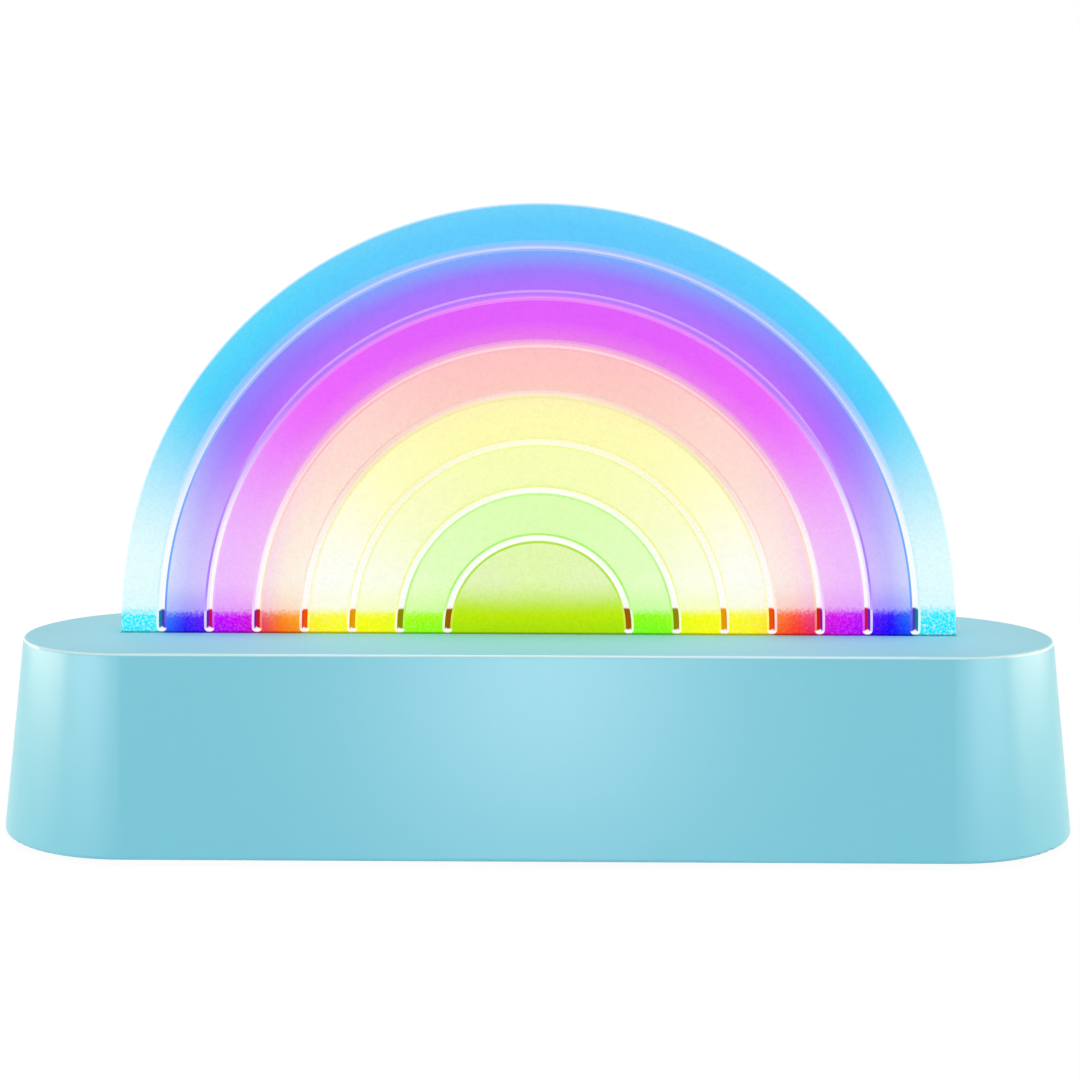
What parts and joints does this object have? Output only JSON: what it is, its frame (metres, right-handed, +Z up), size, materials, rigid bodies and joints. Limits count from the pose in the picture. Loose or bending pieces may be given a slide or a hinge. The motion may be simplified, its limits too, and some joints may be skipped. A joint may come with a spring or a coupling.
{
  "type": "rainbow night light",
  "caption": "Night light: a grooved half-disc light guide that glows in rainbow arches, upright in a long leaning base with full round ends, and a push button at the back.",
  "frame": {"origin": "middle of the footprint, on the surface that the lamp stands on", "axes": "+X along the base to the right of someone facing the lamp, the front faces -Y and the button is at +Y, +Z up"},
  "size_m": [0.1798, 0.0498, 0.104],
  "materials": {
    "base_plastic": "pale blue moulded ABS, satin",
    "light_guide": "clear acrylic, finely frosted faces, moulded grooves",
    "silicone": "translucent silicone, matt",
    "white_plastic": "white moulded ABS, satin",
    "opal_sheet": "opal polycarbonate strip, matt",
    "circuit_board": "green solder mask over glass epoxy",
    "light_package": "white light package with a clear window",
    "socket_plastic": "ivory nylon",
    "ribbon_film": "white polyester flat cable",
    "black_plastic": "black moulded plastic",
    "ferrite": "dark grey ferrite",
    "bright_steel": "nickel plated steel",
    "screw_steel": "zinc plated steel",
    "battery_wrap": "silver grey film wrap",
    "foam": "dark closed-cell foam",
    "wire_cover": "red silicone insulation",
    "foot_rubber": "dark grey silicone, matt",
    "clear_plastic": "clear moulded polycarbonate"
  },
  "bodies": {
    "base": {"base_shell": "base_plastic", "bottom_cover": "base_plastic", "rainbow_plate": "light_guide", "plate_seal": "silicone", "plate_holder": "white_plastic", "diffuser_strip": "opal_sheet", "light_divider": "white_plastic", "led_board": "circuit_board", "leds": "light_package", "led_socket": "socket_plastic", "control_socket": "socket_plastic", "ribbon": "ribbon_film", "control_board": "circuit_board", "control_chip": "black_plastic", "power_inductor": "ferrite", "usb_shell": "bright_steel", "usb_tongue": "black_plastic", "charge_led": "light_package", "charge_light_pipe": "clear_plastic", "switch_body": "black_plastic", "battery_cell": "battery_wrap", "battery_pad": "foam", "battery_wires": "wire_cover", "battery_plug": "socket_plastic", "battery_header": "socket_plastic", "cover_screws": "screw_steel", "holder_screws": "screw_steel", "divider_screws": "screw_steel", "control_screws": "screw_steel", "feet": "foot_rubber"},
    "button": {"button_cap": "base_plastic", "switch_plunger": "black_plastic"}
  },
  "joints": [
    {"name": "button_press", "type": "slide", "parent": "base", "child": "button", "axis": [0, -1, 0], "range_m": [0, 0.0006], "stiffness_N_per_m": 1500, "springref_m": -0.0006}
  ]
}
